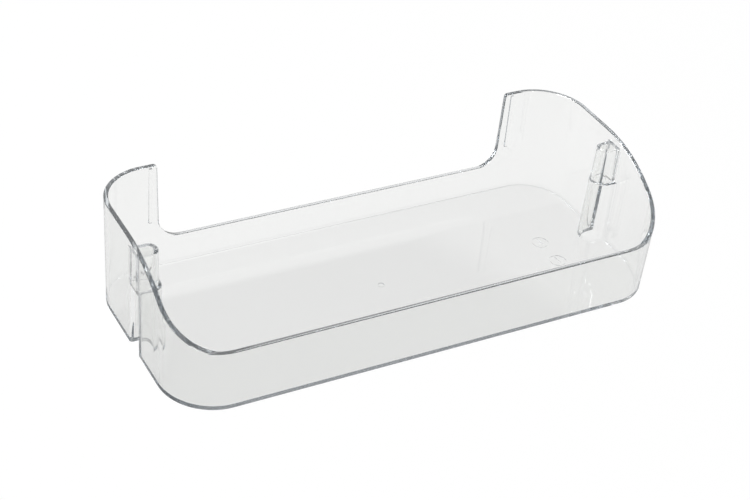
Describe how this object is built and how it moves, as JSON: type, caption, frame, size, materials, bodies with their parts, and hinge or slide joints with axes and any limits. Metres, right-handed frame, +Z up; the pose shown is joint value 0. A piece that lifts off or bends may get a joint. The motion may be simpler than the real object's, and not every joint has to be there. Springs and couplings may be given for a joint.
{
  "type": "fridge door shelf",
  "caption": "Clear moulded tray that hangs on a fridge door: low front, raised rounded ends with hanger pockets, and a back cut low between two ears.",
  "frame": {"origin": "middle of the underside, at the centre of the tray's base outline", "axes": "+X along the door to the right as seen from the room, +Y from the room towards the door, +Z up"},
  "size_m": [0.3534, 0.1526, 0.08],
  "materials": {
    "clear_plastic": "clear, polished mould finish"
  },
  "bodies": {
    "root": {"door_shelf": "clear_plastic"}
  },
  "joints": []
}
